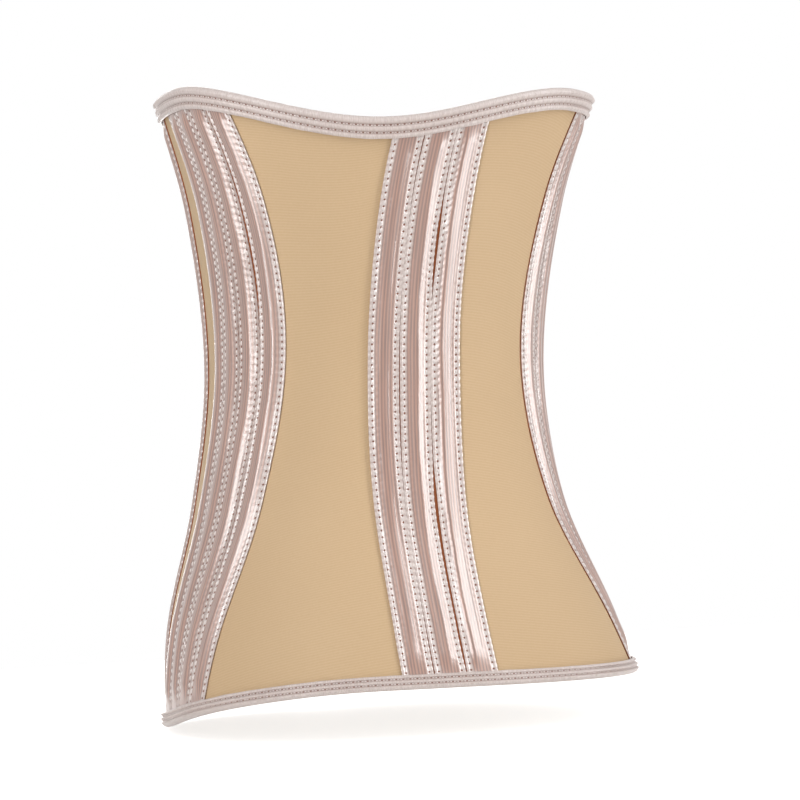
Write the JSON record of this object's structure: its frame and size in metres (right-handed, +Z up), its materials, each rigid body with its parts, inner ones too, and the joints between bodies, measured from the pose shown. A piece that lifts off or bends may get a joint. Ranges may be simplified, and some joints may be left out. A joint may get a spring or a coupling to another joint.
{
  "type": "back brace",
  "caption": "Hourglass boned back brace of tan knit panels with domed satin bone tapes, bound edges and a hook-and-eye front whose halves swing open.",
  "frame": {"origin": "middle of the waist, on the upright axis of the torso that wears the brace", "axes": "+Z up the torso, -Y out of the back, +Y out of the closure, +X to the wearer's right"},
  "size_m": [0.2556, 0.2125, 0.3356],
  "materials": {
    "knit_shell": "matt tan warp knit",
    "satin_tape": "ribbed rose-grey satin",
    "satin_binding": "stitched satin fold-over",
    "cotton_lining": "matt cotton knit",
    "closure_tape": "woven twill tape",
    "spring_steel": "drawn flat spring steel",
    "hook_steel": "nickel-plated wire"
  },
  "bodies": {
    "back": {"back_panel_left": "knit_shell", "back_panel_right": "knit_shell", "back_lining": "cotton_lining", "centre_tape_1": "satin_tape", "centre_tape_2": "satin_tape", "centre_tape_3": "satin_tape", "left_tape_1": "satin_tape", "left_tape_2": "satin_tape", "left_tape_3": "satin_tape", "left_tape_4": "satin_tape", "right_tape_1": "satin_tape", "right_tape_2": "satin_tape", "right_tape_3": "satin_tape", "right_tape_4": "satin_tape", "centre_bones": "spring_steel", "left_bones": "spring_steel", "right_bones": "spring_steel", "top_binding_back": "satin_binding", "hem_binding_back": "satin_binding"},
    "left_front": {"left_side_panel": "knit_shell", "left_front_panel": "knit_shell", "left_front_lining": "cotton_lining", "left_front_tape_1": "satin_tape", "left_front_tape_2": "satin_tape", "left_front_tape_3": "satin_tape", "left_front_bones": "spring_steel", "left_top_binding": "satin_binding", "left_hem_binding": "satin_binding", "eye_tape": "closure_tape", "eyes": "hook_steel"},
    "right_front": {"right_side_panel": "knit_shell", "right_front_panel": "knit_shell", "right_front_lining": "cotton_lining", "right_front_tape_1": "satin_tape", "right_front_tape_2": "satin_tape", "right_front_tape_3": "satin_tape", "right_front_bones": "spring_steel", "right_top_binding": "satin_binding", "right_hem_binding": "satin_binding", "hook_tape": "closure_tape", "hooks": "hook_steel"}
  },
  "joints": [
    {"name": "right_front_open", "type": "hinge", "parent": "back", "child": "right_front", "pos_m": [0.133, -0.02, 0], "axis": [0, 0, -1], "range_deg": [0, 60]},
    {"name": "left_front_open", "type": "hinge", "parent": "back", "child": "left_front", "pos_m": [-0.133, -0.02, 0], "axis": [0, 0, 1], "range_deg": [0, 60]}
  ],
  "couplings": [
    {"joint": "left_front_open", "follows": "right_front_open", "ratio": 1}
  ]
}
